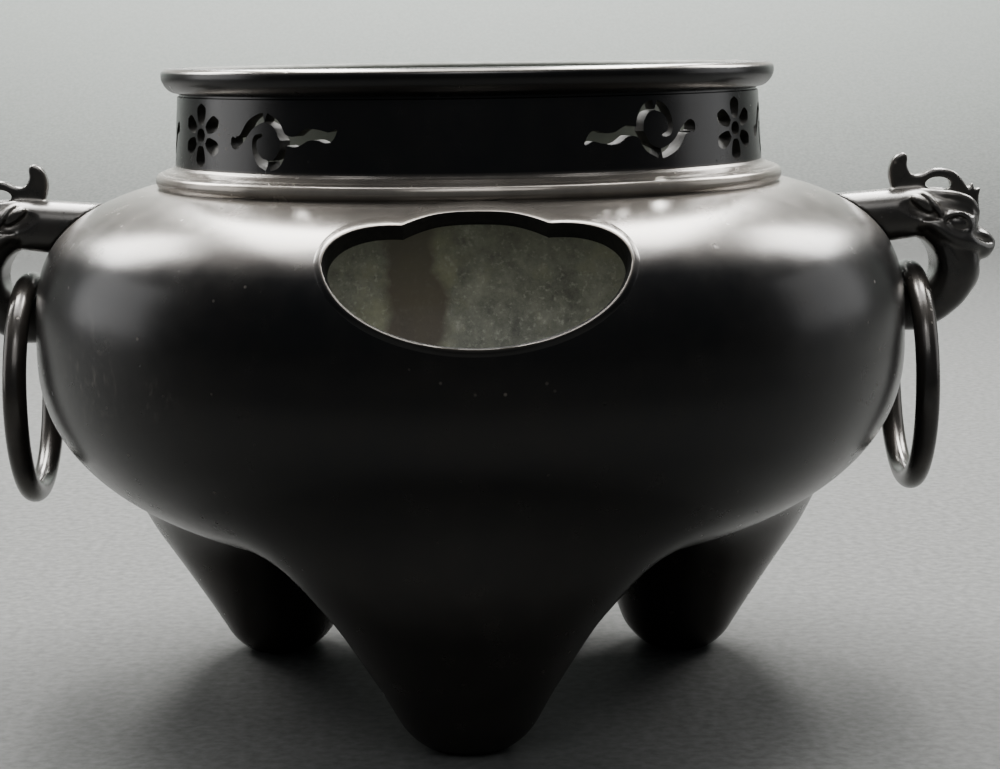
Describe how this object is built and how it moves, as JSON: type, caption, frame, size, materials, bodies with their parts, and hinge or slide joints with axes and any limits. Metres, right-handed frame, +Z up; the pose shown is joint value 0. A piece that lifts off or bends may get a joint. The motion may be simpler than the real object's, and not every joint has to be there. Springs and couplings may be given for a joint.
{
  "type": "bronze tea brazier",
  "caption": "Round-bellied cast bronze tea brazier on tapering feet, with a fire window, a pierced neck and dragon-head lugs with loose rings.",
  "frame": {"origin": "on the ground, on the axis of the bowl", "axes": "+Z up along the bowl's axis, -Y towards the front with the fire window, the lugs at -X and +X"},
  "size_m": [0.366, 0.2988, 0.2163],
  "materials": {
    "vessel_bronze": "cast bronze with a satin near-black brown patina, worn paler on the shoulder and moulding",
    "lug_bronze": "cast bronze with a dark satin patina, rubbed brighter on the ridges",
    "ring_bronze": "smooth dark patinated bronze with a soft sheen"
  },
  "bodies": {
    "brazier": {"vessel": "vessel_bronze", "dragon_lug_left": "lug_bronze", "dragon_lug_right": "lug_bronze"},
    "ring_handle_right": {"ring_right": "ring_bronze"},
    "ring_handle_left": {"ring_left": "ring_bronze"}
  },
  "joints": [
    {"name": "ring_right_swing", "type": "hinge", "parent": "brazier", "child": "ring_handle_right", "pos_m": [0.15317, 0, 0.14275], "axis": [0, -1, 0], "range_deg": [-6, 205]},
    {"name": "ring_left_swing", "type": "hinge", "parent": "brazier", "child": "ring_handle_left", "pos_m": [-0.15317, 0, 0.14275], "axis": [0, 1, 0], "range_deg": [-6, 205]}
  ]
}
